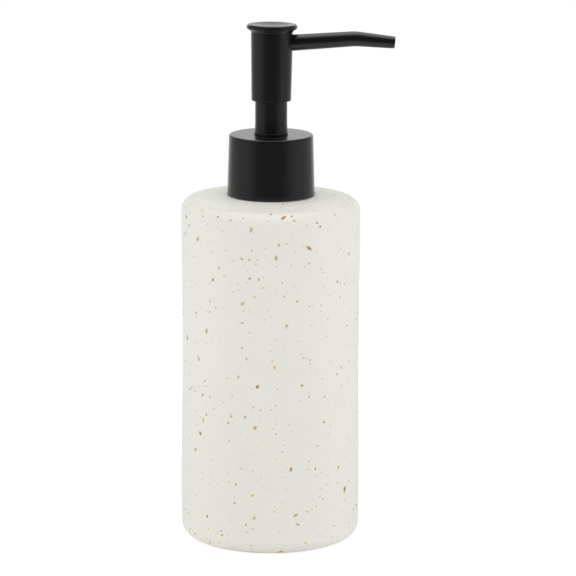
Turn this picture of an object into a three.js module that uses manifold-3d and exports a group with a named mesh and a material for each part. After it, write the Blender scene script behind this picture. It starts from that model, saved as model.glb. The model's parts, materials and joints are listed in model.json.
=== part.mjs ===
// Soap pump dispenser: a ceramic bottle with a screwed lotion pump.
// Millimetres, +Z up. The origin is the bottle's axis on the plane it stands on,
// and the spout points along +X.

import * as THREE from "three";
import { mergeVertices } from "three/addons/utils/BufferGeometryUtils.js";
import Module from "manifold-3d";

const wasm = await Module();
wasm.setup();

// ---- Driving dimensions -------------------------------------------------

const GAP = 0.3; // between pieces that touch
const TURN = 2 * Math.PI;

// bottle
const FOOT_RADIUS = 32.9;
const WAIST_RADIUS = 32.4;
const SHOULDER_RADIUS = 32.7;
const FOOT_FILLET = 5;
const SHOULDER_FILLET = 4.3;
const SHOULDER_SLOPE = THREE.MathUtils.degToRad(6);
const LAND_Z = 127.6; // flat ring round the mouth
const LAND_RADIUS = 17;
const MOUTH_RADIUS = 12.4;
const WALL = 4;
const FLOOR = 5;
const CEILING_Z = 122; // underside of the shoulder at the mouth

// neck thread, a 28 mm closure
const NECK_BORE_RADIUS = 10.6;
const NECK_RADIUS = 12.5;
const NECK_TOP_Z = 143;
const THREAD_PITCH = 4.2;
const THREAD_HEIGHT = 1.2;
const THREAD_START_Z = 132;
const THREAD_TURNS = 1.5;

// collar
const COLLAR_BOTTOM_Z = 128.1;
const COLLAR_TOP_Z = 149.9;
const COLLAR_BOTTOM_RADIUS = 15.95;
const COLLAR_TOP_RADIUS = 15.3;
const COLLAR_BORE_RADIUS = 14.1;
const COLLAR_WEB = 1.5;
const COLLAR_HOLE_RADIUS = 5.9;

// pump engine
const GASKET_THICKNESS = 1.2;
const HOUSING_FLANGE = 1.4;
const HOUSING_RADIUS = 7.6;
const FUNNEL_TOP_Z = 112; // the cylinder narrows down to the dip tube's socket here
const FUNNEL_BOTTOM_Z = 109;
const CYLINDER_RADIUS = 6.5;
const CYLINDER_FLOOR_Z = 113;
const BALL_CHAMBER_RADIUS = 2.6;
const INLET_SEAT_Z = 105.3; // lower edge of the 45 degree valve seat
const INLET_RADIUS = 1.2;
const SOCKET_TOP_Z = 103;
const SOCKET_BOTTOM_Z = 94;
const SOCKET_RADIUS = 3.35;
const SOCKET_OUTER_RADIUS = 4.8;
const INLET_BALL_RADIUS = 2;
const INLET_LIFT = 1.2;
const CAGE_BORE_RADIUS = 1;
const CAGE_PLATE = 0.8;
const DIP_TUBE_RADIUS = 3;
const DIP_TUBE_BORE_RADIUS = 2;
const DIP_TUBE_BOTTOM_Z = 8;

// spring
const SPRING_RADIUS = 4.6; // to the middle of the wire
const SPRING_WIRE_RADIUS = 0.4;
const SPRING_TURNS = 8;
const SPRING_END_PITCH = 1.2;

// moving stem and head
const STEM_RADIUS = 3.5;
const STEM_BORE_RADIUS = 2;
const STEM_BOTTOM_Z = 136.5;
const STEM_TOP_Z = 180.4;
const PORT_RADIUS = 0.9;
const PORT_RISE = 3; // above the stem's lower end
const PLUG_THICKNESS = 1.6;
const PLUG_SPIGOT = 1.5;
const PISTON_HEIGHT = 5.5;
const OUTLET_RADIUS = 1.1;
const OUTLET_SEAT = 0.8; // depth of the 45 degree valve seat
const OUTLET_BALL_RADIUS = 1.5;
const GUIDE_RADIUS = 5.78;
const GUIDE_NECK_RADIUS = 5.55; // where it passes the collar's hole
const GUIDE_FLARE_RADIUS = 6.1;
const GUIDE_FLANGE_RADIUS = 10.1;
const GUIDE_SLEEVE = 4; // how far it reaches down into the pump cylinder
const GUIDE_BORE_RADIUS = 4.1;
const GUIDE_TOP_Z = 166;
const SKIRT_BOTTOM_Z = 162.3;
const SKIRT_BOTTOM_RADIUS = 7.23;
const SKIRT_TOP_RADIUS = 7.65;
const SKIRT_TOP_Z = 186.9;
const HEAD_BORE_RADIUS = 6.4;
const DISC_RADIUS = 9.2;
const DISC_MIDDLE_Z = 188.9;
const FACE_RADIUS = 8;
const HEAD_TOP_Z = 190;
const CAP_SEAT_Z = 188;
const CORE_BOTTOM_Z = 178.9;
const CORE_CHAMBER = 0.6; // clearance round the outlet ball
const CHANNEL_RADIUS = 1.4;

// spout
const SPOUT_ROOT_X = 4.2;
const SPOUT_BEND_X = 30.2;
const SPOUT_TIP_X = 44.5;
const SPOUT_ROOT_Z = 183.1;
const SPOUT_BEND_Z = 185.05;
const SPOUT_TIP_Z = 183.8;
const SPOUT_BEND_REACH = 3; // the bend is rounded over this much on each side
const SPOUT_ROOT_RADIUS = 3;
const SPOUT_BEND_RADIUS = 2.72;
const SPOUT_TIP_RADIUS = 2.2;
const SPOUT_WALL = 0.8;

// ---- Materials ----------------------------------------------------------

function material(color, roughness, metalness = 0) {
  return new THREE.MeshStandardMaterial({ color, roughness, metalness });
}

const stoneware = material(0xe1e1d9, 0.6);
const blackPlastic = material(0x232224, 0.35);
const whitePlastic = material(0xe9e8e2, 0.45);
const clearPlastic = material(0xdfe3e2, 0.35);
const sealRubber = material(0xcfcdc6, 0.7);
const steel = material(0xb9bcc0, 0.25, 1);

// ---- Geometry helpers ---------------------------------------------------

// points of an arc in an outline, from one angle in degrees to another
function arc(r, z, radius, from, to, steps) {
  const points = [];
  for (let i = 0; i <= steps; i += 1) {
    const angle = THREE.MathUtils.degToRad(from + ((to - from) * i) / steps);
    points.push([r + radius * Math.cos(angle), z + radius * Math.sin(angle)]);
  }
  return points;
}

// body of revolution about +Z from an outline of [radius, z] points,
// which starts and ends on the axis or is closed here
function revolve(outline, segments = 48) {
  const onAxis = outline[0][0] === 0 && outline.at(-1)[0] === 0;
  const points = onAxis ? outline : [...outline, outline[0]];
  const profile = points.map(([r, z]) => new THREE.Vector2(r, z));
  return outward(new THREE.LatheGeometry(profile, segments).rotateX(Math.PI / 2));
}

// tube between two radii and two heights
function tube(inner, outer, bottom, top, segments) {
  return revolve([[inner, bottom], [outer, bottom], [outer, top], [inner, top]], segments);
}

function rod(radius, bottom, top, segments) {
  return revolve([[0, bottom], [radius, bottom], [radius, top], [0, top]], segments);
}

// closed mesh of positions only, with shared corners merged and faces turned outward
function outward(geometry) {
  geometry.deleteAttribute("normal");
  geometry.deleteAttribute("uv");
  const merged = mergeVertices(geometry, 1e-4);
  const corners = merged.getAttribute("position");
  const [a, b, c] = [new THREE.Vector3(), new THREE.Vector3(), new THREE.Vector3()];
  const faces = [];
  let volume = 0;
  for (let i = 0; i < merged.index.count; i += 3) {
    const face = [0, 1, 2].map((k) => merged.index.getX(i + k));
    if (new Set(face).size < 3) continue;
    [a, b, c].forEach((corner, k) => corner.fromBufferAttribute(corners, face[k]));
    volume += a.dot(b.cross(c));
    faces.push(face);
  }
  if (volume < 0) faces.forEach((face) => face.reverse());
  merged.setIndex(faces.flat());
  return merged;
}

function toSolid(geometry) {
  const vertProperties = new Float32Array(geometry.getAttribute("position").array);
  const triVerts = new Uint32Array(geometry.index.array);
  return new wasm.Manifold(new wasm.Mesh({ numProp: 3, vertProperties, triVerts }));
}

function fromSolid(solid) {
  const { vertProperties, triVerts } = solid.getMesh();
  const geometry = new THREE.BufferGeometry();
  geometry.setAttribute("position", new THREE.BufferAttribute(vertProperties, 3));
  geometry.setIndex(new THREE.BufferAttribute(triVerts, 1));
  return geometry;
}

function join(body, ...additions) {
  return fromSolid(additions.reduce((sum, next) => sum.add(toSolid(next)), toSolid(body)));
}

function cut(body, ...tools) {
  return fromSolid(tools.reduce((rest, next) => rest.subtract(toSolid(next)), toSolid(body)));
}

// screw ridge of trapezoid section, one pitch higher each turn, fading out at both ends;
// side is 1 for a ridge that stands outward from the radius and -1 for inward
function threadRidge(radius, side, startZ, turns) {
  const rootDepth = 0.25;
  const halfRoot = 1.05;
  const halfCrest = 0.5;
  const fadeTurns = 0.12;
  const section = new THREE.Shape([
    new THREE.Vector2(-rootDepth, -halfRoot),
    new THREE.Vector2(THREAD_HEIGHT, -halfCrest),
    new THREE.Vector2(THREAD_HEIGHT, halfCrest),
    new THREE.Vector2(-rootDepth, halfRoot),
  ]);
  const ridge = new THREE.ExtrudeGeometry(section, {
    depth: turns,
    steps: Math.round(turns * 40),
    bevelEnabled: false,
  });
  const position = ridge.getAttribute("position");
  for (let i = 0; i < position.count; i += 1) {
    const turn = position.getZ(i);
    const fade = Math.min(1, turn / fadeTurns, (turns - turn) / fadeTurns);
    const height = Math.max(position.getX(i) * fade, -rootDepth);
    const reach = radius + side * (position.getX(i) > 0 ? height : -rootDepth);
    const angle = TURN * turn;
    const z = startZ + position.getY(i) + THREAD_PITCH * turn;
    position.setXYZ(i, reach * Math.cos(angle), reach * Math.sin(angle), z);
  }
  return outward(ridge);
}

// ---- Bottle -------------------------------------------------------------

function makeBottle() {
  const shoulderRise = (LAND_RADIUS - (SHOULDER_RADIUS - SHOULDER_FILLET)) * Math.tan(SHOULDER_SLOPE);
  const filletZ = LAND_Z + shoulderRise - SHOULDER_FILLET;
  const waistPull = 2 * WAIST_RADIUS - (FOOT_RADIUS + SHOULDER_RADIUS) / 2;
  const side = new THREE.QuadraticBezierCurve(
    new THREE.Vector2(FOOT_RADIUS, FOOT_FILLET),
    new THREE.Vector2(waistPull, (FOOT_FILLET + filletZ) / 2),
    new THREE.Vector2(SHOULDER_RADIUS, filletZ),
  );
  const slopeDegrees = THREE.MathUtils.radToDeg(SHOULDER_SLOPE);
  const innerRadius = WAIST_RADIUS - WALL;
  const innerFillet = 4;
  const ceilingSlope = 1;
  return revolve([
    [0, 0],
    ...arc(FOOT_RADIUS - FOOT_FILLET, FOOT_FILLET, FOOT_FILLET, -90, -15, 4),
    ...side.getPoints(5).map((point) => [point.x, point.y]),
    ...arc(SHOULDER_RADIUS - SHOULDER_FILLET, filletZ, SHOULDER_FILLET, 15, 90 - slopeDegrees, 5),
    [LAND_RADIUS, LAND_Z],
    [MOUTH_RADIUS, LAND_Z],
    [MOUTH_RADIUS, CEILING_Z],
    ...arc(innerRadius - innerFillet, CEILING_Z - ceilingSlope - innerFillet, innerFillet, 90, 0, 3),
    ...arc(innerRadius - innerFillet, FLOOR + innerFillet, innerFillet, 0, -90, 3),
    [0, FLOOR],
  ], 56);
}

function makeNeckInsert() {
  const sleeveZ = CEILING_Z + 0.5;
  const flangeZ = LAND_Z + GAP;
  const flangeTopZ = flangeZ + 1.2;
  const flangeRadius = COLLAR_BORE_RADIUS - 1.5 * GAP;
  const body = revolve([
    [NECK_BORE_RADIUS, sleeveZ],
    [MOUTH_RADIUS - GAP, sleeveZ],
    [MOUTH_RADIUS - GAP, flangeZ],
    [flangeRadius, flangeZ],
    [flangeRadius, flangeTopZ],
    [NECK_RADIUS, flangeTopZ],
    [NECK_RADIUS, NECK_TOP_Z],
    [NECK_BORE_RADIUS, NECK_TOP_Z],
  ], 40);
  return join(body, threadRidge(NECK_RADIUS, 1, THREAD_START_Z, THREAD_TURNS));
}

// ---- Collar -------------------------------------------------------------

function makeCollar() {
  const edge = 0.5;
  const webZ = COLLAR_TOP_Z - COLLAR_WEB;
  const body = revolve([
    [COLLAR_BORE_RADIUS, COLLAR_BOTTOM_Z],
    [COLLAR_BOTTOM_RADIUS - edge, COLLAR_BOTTOM_Z],
    ...arc(COLLAR_BOTTOM_RADIUS - edge, COLLAR_BOTTOM_Z + edge, edge, -45, 0, 1),
    ...arc(COLLAR_TOP_RADIUS - edge, COLLAR_TOP_Z - edge, edge, 0, 90, 2),
    [COLLAR_HOLE_RADIUS, COLLAR_TOP_Z],
    [COLLAR_HOLE_RADIUS, webZ],
    [COLLAR_BORE_RADIUS, webZ],
  ], 40);
  const ridgeStart = THREAD_START_Z - THREAD_PITCH / 2;
  return join(body, threadRidge(COLLAR_BORE_RADIUS, -1, ridgeStart, THREAD_TURNS));
}

// ---- Pump engine --------------------------------------------------------

const GASKET_Z = NECK_TOP_Z + GAP;
const FLANGE_Z = GASKET_Z + GASKET_THICKNESS + GAP;
const FLANGE_TOP_Z = FLANGE_Z + HOUSING_FLANGE;

function makeNeckGasket() {
  const inner = NECK_BORE_RADIUS - 1;
  const outer = NECK_RADIUS - 0.1;
  return tube(inner, outer, GASKET_Z, GASKET_Z + GASKET_THICKNESS, 32);
}

function makePumpHousing() {
  const seatTopZ = INLET_SEAT_Z + BALL_CHAMBER_RADIUS - INLET_RADIUS;
  return revolve([
    [SOCKET_RADIUS, SOCKET_BOTTOM_Z],
    [SOCKET_OUTER_RADIUS, SOCKET_BOTTOM_Z],
    [SOCKET_OUTER_RADIUS, FUNNEL_BOTTOM_Z],
    [HOUSING_RADIUS, FUNNEL_TOP_Z],
    [HOUSING_RADIUS, FLANGE_Z],
    [NECK_RADIUS - GAP, FLANGE_Z],
    [NECK_RADIUS - GAP, FLANGE_TOP_Z],
    [CYLINDER_RADIUS, FLANGE_TOP_Z],
    [CYLINDER_RADIUS, CYLINDER_FLOOR_Z],
    [BALL_CHAMBER_RADIUS, CYLINDER_FLOOR_Z],
    [BALL_CHAMBER_RADIUS, seatTopZ],
    [INLET_RADIUS, INLET_SEAT_Z],
    [INLET_RADIUS, SOCKET_TOP_Z],
    [SOCKET_RADIUS, SOCKET_TOP_Z],
  ], 32);
}

// height of a ball's centre when it floats one gap above a 45 degree seat
function seatedBallZ(seatZ, seatRadius, ballRadius) {
  return seatZ - seatRadius + (ballRadius + GAP) * Math.SQRT2;
}

function makeBall(radius, z) {
  const ball = outward(new THREE.SphereGeometry(radius, 16, 10));
  return ball.translate(0, 0, z);
}

const INLET_BALL_Z = seatedBallZ(INLET_SEAT_Z, INLET_RADIUS, INLET_BALL_RADIUS);
const CAGE_SEAT_Z = CYLINDER_FLOOR_Z + GAP;
const CAGE_TOP_Z = CAGE_SEAT_Z + CAGE_PLATE;

function makeBallCage() {
  const hubBottomZ = INLET_BALL_Z + INLET_BALL_RADIUS + INLET_LIFT + GAP;
  const hubRadius = BALL_CHAMBER_RADIUS - GAP;
  const flangeRadius = CYLINDER_RADIUS - 3 * GAP;
  return revolve([
    [CAGE_BORE_RADIUS, hubBottomZ],
    [hubRadius, hubBottomZ],
    [hubRadius, CAGE_SEAT_Z],
    [flangeRadius, CAGE_SEAT_Z],
    [flangeRadius, CAGE_TOP_Z],
    [CAGE_BORE_RADIUS, CAGE_TOP_Z],
  ], 24);
}

function makeDipTube() {
  const whole = tube(DIP_TUBE_BORE_RADIUS, DIP_TUBE_RADIUS, DIP_TUBE_BOTTOM_Z, SOCKET_TOP_Z - GAP, 20);
  const cutAngle = THREE.MathUtils.degToRad(30);
  const size = 20;
  const wedge = new THREE.BoxGeometry(size, size, size).translate(0, 0, -size / 2);
  wedge.rotateY(cutAngle).translate(0, 0, DIP_TUBE_BOTTOM_Z + DIP_TUBE_RADIUS * Math.tan(cutAngle));
  return cut(whole, outward(wedge));
}

// ---- Spring -------------------------------------------------------------

const PLUG_BOTTOM_Z = STEM_BOTTOM_Z - GAP - PLUG_THICKNESS;
const SPRING_BOTTOM_Z = CAGE_TOP_Z + GAP;
const SPRING_TOP_Z = PLUG_BOTTOM_Z - GAP;

// helix of a compression spring whose first and last turns lie flatter than the rest
class SpringCurve extends THREE.Curve {
  getPoint(t, target = new THREE.Vector3()) {
    const low = SPRING_BOTTOM_Z + SPRING_WIRE_RADIUS;
    const rise = SPRING_TOP_Z - SPRING_WIRE_RADIUS - low;
    const openPitch = (rise - 2 * SPRING_END_PITCH) / (SPRING_TURNS - 2);
    const turn = t * SPRING_TURNS;
    const open = THREE.MathUtils.clamp(turn - 1, 0, SPRING_TURNS - 2);
    const z = low + SPRING_END_PITCH * (turn - open) + openPitch * open;
    const angle = TURN * turn;
    return target.set(SPRING_RADIUS * Math.cos(angle), SPRING_RADIUS * Math.sin(angle), z);
  }
}

function makeReturnSpring() {
  const wire = new THREE.Shape();
  wire.absarc(0, 0, SPRING_WIRE_RADIUS, 0, TURN);
  return outward(new THREE.ExtrudeGeometry(wire, {
    extrudePath: new SpringCurve(),
    steps: SPRING_TURNS * 16,
    curveSegments: 3,
  }));
}

// ---- Plunger ------------------------------------------------------------

function makePiston() {
  const outer = CYLINDER_RADIUS - GAP;
  const inner = STEM_RADIUS + GAP;
  const lip = 0.5;
  const lipHeight = 2;
  const groove = 1;
  const bottom = STEM_BOTTOM_Z;
  const top = bottom + PISTON_HEIGHT;
  return revolve([
    [inner, bottom],
    [outer - 2 * lip, bottom + groove],
    [outer - lip, bottom],
    [outer, bottom],
    [outer - lip, bottom + lipHeight],
    [outer - lip, top - lipHeight],
    [outer, top],
    [outer - lip, top],
    [outer - 2 * lip, top - groove],
    [inner, top - groove],
  ], 32);
}

function makePistonPlug() {
  const discRadius = CYLINDER_RADIUS - 3 * GAP;
  const spigotRadius = STEM_BORE_RADIUS - GAP;
  const spigotTopZ = STEM_BOTTOM_Z + PLUG_SPIGOT;
  return revolve([
    [0, PLUG_BOTTOM_Z],
    [discRadius, PLUG_BOTTOM_Z],
    [discRadius, STEM_BOTTOM_Z - GAP],
    [spigotRadius, STEM_BOTTOM_Z - GAP],
    [spigotRadius, spigotTopZ],
    [0, spigotTopZ],
  ], 24);
}

function makePistonStem() {
  const neckZ = STEM_TOP_Z - 3;
  const body = revolve([
    [STEM_BORE_RADIUS, STEM_BOTTOM_Z],
    [STEM_RADIUS, STEM_BOTTOM_Z],
    [STEM_RADIUS, STEM_TOP_Z],
    [OUTLET_RADIUS + OUTLET_SEAT, STEM_TOP_Z],
    [OUTLET_RADIUS, STEM_TOP_Z - OUTLET_SEAT],
    [OUTLET_RADIUS, neckZ],
    [STEM_BORE_RADIUS, neckZ - 1],
  ], 24);
  const port = rod(PORT_RADIUS, -2 * STEM_RADIUS, 2 * STEM_RADIUS, 10);
  port.rotateX(Math.PI / 2).translate(0, 0, STEM_BOTTOM_Z + PORT_RISE);
  return cut(body, port);
}

const OUTLET_BALL_Z = seatedBallZ(STEM_TOP_Z - OUTLET_SEAT, OUTLET_RADIUS, OUTLET_BALL_RADIUS);

// fixed tower that the stem slides in, with the flange that the collar holds down
function makeStemGuide() {
  const flangeZ = FLANGE_TOP_Z + GAP;
  const flangeTopZ = COLLAR_TOP_Z - COLLAR_WEB - GAP;
  const flareZ = COLLAR_TOP_Z + GAP;
  const flareMiddleZ = flareZ + 1.5;
  const flareTopZ = flareZ + 5;
  const edge = 0.4;
  return revolve([
    [GUIDE_BORE_RADIUS, flangeZ - GUIDE_SLEEVE],
    [CYLINDER_RADIUS - GAP, flangeZ - GUIDE_SLEEVE],
    [CYLINDER_RADIUS - GAP, flangeZ],
    [GUIDE_FLANGE_RADIUS, flangeZ],
    [GUIDE_FLANGE_RADIUS, flangeTopZ],
    [GUIDE_NECK_RADIUS, flangeTopZ],
    [GUIDE_NECK_RADIUS, flareZ],
    [GUIDE_FLARE_RADIUS, flareZ],
    [(GUIDE_FLARE_RADIUS + GUIDE_RADIUS) / 2, flareMiddleZ],
    [GUIDE_RADIUS, flareTopZ],
    [GUIDE_RADIUS, GUIDE_TOP_Z - edge],
    [GUIDE_RADIUS - edge, GUIDE_TOP_Z],
    [GUIDE_BORE_RADIUS, GUIDE_TOP_Z],
  ], 32);
}

// ---- Spout --------------------------------------------------------------

const spoutRoot = new THREE.Vector3(SPOUT_ROOT_X, 0, SPOUT_ROOT_Z);
const spoutBend = new THREE.Vector3(SPOUT_BEND_X, 0, SPOUT_BEND_Z);
const spoutTip = new THREE.Vector3(SPOUT_TIP_X, 0, SPOUT_TIP_Z);

// middle line of the spout: two straight runs joined by a rounded bend
function spoutLine() {
  const before = spoutRoot.clone().sub(spoutBend).setLength(SPOUT_BEND_REACH).add(spoutBend);
  const after = spoutTip.clone().sub(spoutBend).setLength(SPOUT_BEND_REACH).add(spoutBend);
  const line = new THREE.CurvePath();
  line.add(new THREE.LineCurve3(spoutRoot, before));
  line.add(new THREE.QuadraticBezierCurve3(before, spoutBend, after));
  line.add(new THREE.LineCurve3(after, spoutTip));
  return line;
}

// moves a body of revolution about +Z onto a line in the XZ plane; z becomes the way along it
function bendAlong(geometry, line) {
  const length = line.getLength();
  const position = geometry.getAttribute("position");
  for (let i = 0; i < position.count; i += 1) {
    const along = THREE.MathUtils.clamp(position.getZ(i) / length, 0, 1);
    const tangent = line.getTangentAt(along);
    const point = line.getPointAt(along);
    const up = position.getX(i);
    position.setXYZ(i, point.x - tangent.z * up, position.getY(i), point.z + tangent.x * up);
  }
  return outward(geometry);
}

function makeSpout() {
  const line = spoutLine();
  const length = line.getLength();
  const bend = spoutRoot.distanceTo(spoutBend);
  const edge = 0.3;
  const stations = [0, 0.45, 0.88, 0.94, 1, 1.06, 1.12].map((share) => share * bend);
  const radiusAt = (way) => (way < bend
    ? THREE.MathUtils.mapLinear(way, 0, bend, SPOUT_ROOT_RADIUS, SPOUT_BEND_RADIUS)
    : THREE.MathUtils.mapLinear(way, bend, length, SPOUT_BEND_RADIUS, SPOUT_TIP_RADIUS));
  const outside = stations.map((way) => [radiusAt(way), way]);
  const inside = stations.map((way) => [radiusAt(way) - SPOUT_WALL, way]);
  return bendAlong(revolve([
    ...outside,
    [SPOUT_TIP_RADIUS, length - edge],
    [SPOUT_TIP_RADIUS - edge, length],
    [SPOUT_TIP_RADIUS - SPOUT_WALL, length],
    ...inside.reverse(),
  ], 24), line);
}

// straight rod on the spout's root line, for the holes that the spout goes through
function spoutHole(radius, fromX, toX) {
  const tilt = Math.atan2(SPOUT_BEND_Z - SPOUT_ROOT_Z, SPOUT_BEND_X - SPOUT_ROOT_X);
  const hole = rod(radius, fromX - SPOUT_ROOT_X, toX - SPOUT_ROOT_X, 24);
  return hole.rotateY(Math.PI / 2 - tilt).translate(SPOUT_ROOT_X, 0, SPOUT_ROOT_Z);
}

// ---- Head ---------------------------------------------------------------

function makeHeadShell() {
  const edge = 0.3;
  const rimRadius = HEAD_TOP_Z - DISC_MIDDLE_Z;
  const body = revolve([
    [HEAD_BORE_RADIUS, SKIRT_BOTTOM_Z],
    [SKIRT_BOTTOM_RADIUS - edge, SKIRT_BOTTOM_Z],
    [SKIRT_BOTTOM_RADIUS, SKIRT_BOTTOM_Z + edge],
    [SKIRT_TOP_RADIUS, SKIRT_TOP_Z],
    [DISC_RADIUS - 2 * edge, DISC_MIDDLE_Z - 3 * edge],
    [DISC_RADIUS, DISC_MIDDLE_Z - edge],
    ...arc(DISC_RADIUS - rimRadius, DISC_MIDDLE_Z, rimRadius, 0, 90, 4),
    [FACE_RADIUS, HEAD_TOP_Z],
    [FACE_RADIUS, CAP_SEAT_Z],
    [HEAD_BORE_RADIUS, CAP_SEAT_Z],
  ]);
  return cut(body, spoutHole(SPOUT_ROOT_RADIUS + GAP, STEM_RADIUS, 2 * DISC_RADIUS));
}

function makeHeadCap() {
  const radius = FACE_RADIUS - GAP;
  const bottom = CAP_SEAT_Z + GAP;
  const rim = 0.6;
  const dish = 0.6;
  return revolve([
    [0, bottom],
    [radius, bottom],
    [radius, HEAD_TOP_Z],
    [radius - rim, HEAD_TOP_Z],
    [radius / 2, HEAD_TOP_Z - 0.7 * dish],
    [0, HEAD_TOP_Z - dish],
  ]);
}

function makeHeadCore() {
  const radius = HEAD_BORE_RADIUS - GAP;
  const chamberRadius = OUTLET_BALL_RADIUS + CORE_CHAMBER;
  const chamberTopZ = SPOUT_ROOT_Z + CHANNEL_RADIUS + GAP;
  const topZ = CAP_SEAT_Z - GAP;
  const chamberFloorZ = STEM_TOP_Z + GAP;
  const body = revolve([
    [STEM_RADIUS + GAP, CORE_BOTTOM_Z],
    [radius, CORE_BOTTOM_Z],
    [radius, topZ],
    [0, topZ],
    [0, chamberTopZ],
    [chamberRadius, chamberTopZ],
    [chamberRadius, chamberFloorZ],
    [STEM_RADIUS + GAP, chamberFloorZ],
  ], 40);
  const channel = spoutHole(CHANNEL_RADIUS, 0, SPOUT_ROOT_X);
  const socket = spoutHole(SPOUT_ROOT_RADIUS + GAP, SPOUT_ROOT_X - GAP, 2 * radius);
  return cut(body, channel, socket);
}

// ---- Assembly -----------------------------------------------------------

function piece(name, geometry, surface) {
  const mesh = new THREE.Mesh(geometry, surface);
  mesh.name = name;
  return mesh;
}

const dispenser = new THREE.Group();
dispenser.add(
  piece("bottle", makeBottle(), stoneware),
  piece("neck_insert", makeNeckInsert(), whitePlastic),
  piece("neck_gasket", makeNeckGasket(), sealRubber),
  piece("collar", makeCollar(), blackPlastic),
  piece("stem_guide", makeStemGuide(), blackPlastic),
  piece("pump_housing", makePumpHousing(), whitePlastic),
  piece("inlet_ball", makeBall(INLET_BALL_RADIUS, INLET_BALL_Z), steel),
  piece("ball_cage", makeBallCage(), whitePlastic),
  piece("dip_tube", makeDipTube(), clearPlastic),
  piece("return_spring", makeReturnSpring(), steel),
  piece("piston", makePiston(), whitePlastic),
  piece("piston_plug", makePistonPlug(), whitePlastic),
  piece("piston_stem", makePistonStem(), whitePlastic),
  piece("outlet_ball", makeBall(OUTLET_BALL_RADIUS, OUTLET_BALL_Z), steel),
  piece("head_core", makeHeadCore(), whitePlastic),
  piece("head_shell", makeHeadShell(), blackPlastic),
  piece("head_cap", makeHeadCap(), blackPlastic),
  piece("spout", makeSpout(), blackPlastic),
);

export default dispenser;
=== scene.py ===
"""Looks of the soap pump dispenser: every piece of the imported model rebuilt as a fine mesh
with its own procedural material, on a pale floor under soft studio light."""

from collections import namedtuple
import json
import math

import bmesh
import bpy
from mathutils import Matrix, Vector


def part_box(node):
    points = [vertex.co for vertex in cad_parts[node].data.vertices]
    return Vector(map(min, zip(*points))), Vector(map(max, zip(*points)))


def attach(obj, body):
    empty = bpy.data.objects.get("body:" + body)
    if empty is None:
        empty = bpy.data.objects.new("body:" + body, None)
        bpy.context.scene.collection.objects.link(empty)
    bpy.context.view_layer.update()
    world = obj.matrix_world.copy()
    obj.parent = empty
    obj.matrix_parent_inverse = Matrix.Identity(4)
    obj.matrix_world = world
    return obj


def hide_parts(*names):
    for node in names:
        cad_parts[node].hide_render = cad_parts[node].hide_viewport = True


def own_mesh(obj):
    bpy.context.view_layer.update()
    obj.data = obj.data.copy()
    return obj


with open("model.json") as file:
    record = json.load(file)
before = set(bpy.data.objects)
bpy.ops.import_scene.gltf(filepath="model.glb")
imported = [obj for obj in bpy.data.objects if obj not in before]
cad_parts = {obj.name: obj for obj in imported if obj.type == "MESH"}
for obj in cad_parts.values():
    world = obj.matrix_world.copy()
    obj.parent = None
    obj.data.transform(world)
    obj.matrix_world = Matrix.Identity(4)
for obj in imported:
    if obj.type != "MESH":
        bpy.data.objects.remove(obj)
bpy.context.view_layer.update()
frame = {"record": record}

MM = 0.001  # pieces are written in millimetres, cameras and lights in metres
SIDES = 160  # facets round the fixed tower
WIDE_SIDES = 192  # round the bottle, the collar and the head
NECK_SIDES = 128  # round the neck, the spout and the floor
INNER_SIDES = 96  # round the pieces inside the pump
HOLE_SIDES = 24
ON_AXIS = 1e-6  # a smaller radius is a point on the axis, in mm
SHARP = math.radians(32)  # edges sharper than this stay crisp
ARC_STEP = math.radians(8)  # between the points of a rounded corner
SMALLEST_EDGE = 0.001 * MM  # what a cut leaves shorter than this is merged away

# ---- Camera: a long lens from in front and a little above ---------------

CAMERA_AWAY = 1.1548  # metres in front of the bottle's axis
CAMERA_RIGHT = 0.00635
CAMERA_PITCH = math.radians(12.19)
CAMERA_ROLL = 0.004
AIM_HEIGHT = 0.0927  # height on the bottle's axis in the middle of the picture
LENS_MM = 201.1
SENSOR_MM = 36


def make_camera():
    data = bpy.data.cameras.new("camera")
    data.lens = LENS_MM
    data.sensor_width = SENSOR_MM
    camera = bpy.data.objects.new("camera", data)
    height = AIM_HEIGHT + CAMERA_AWAY * math.tan(CAMERA_PITCH)
    turn = Matrix.Rotation(math.pi / 2 - CAMERA_PITCH, 4, "X") @ Matrix.Rotation(CAMERA_ROLL, 4, "Z")
    camera.matrix_world = Matrix.Translation((CAMERA_RIGHT, -CAMERA_AWAY, height)) @ turn
    bpy.context.scene.collection.objects.link(camera)
    bpy.context.scene.camera = camera


# ---- Dimensions shared by pieces, in millimetres ---------------------------

THREAD_PITCH = 4.2
THREAD_HEIGHT = 1.2
THREAD_START = 132
THREAD_TURNS = 1.5

SPOUT_ROOT = Vector((4.2, 0, 183.1))
SPOUT_BEND = Vector((30.2, 0, 185.05))
SPOUT_TIP = Vector((44.5, 0, 183.8))
SPOUT_BEND_REACH = 1.6  # from the bend's corner to where its arc begins and ends
SPOUT_ROOT_RADIUS = 3
SPOUT_BEND_RADIUS = 2.72
SPOUT_TIP_RADIUS = 2.2
SPOUT_WALL = 0.8

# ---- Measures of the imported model, in millimetres ------------------------


def measures(node):
    """(radius, bottom, top) of a round CAD node."""
    low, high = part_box(node)
    return high.y / MM, low.z / MM, high.z / MM


# ---- Mesh helpers ---------------------------------------------------------


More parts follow.
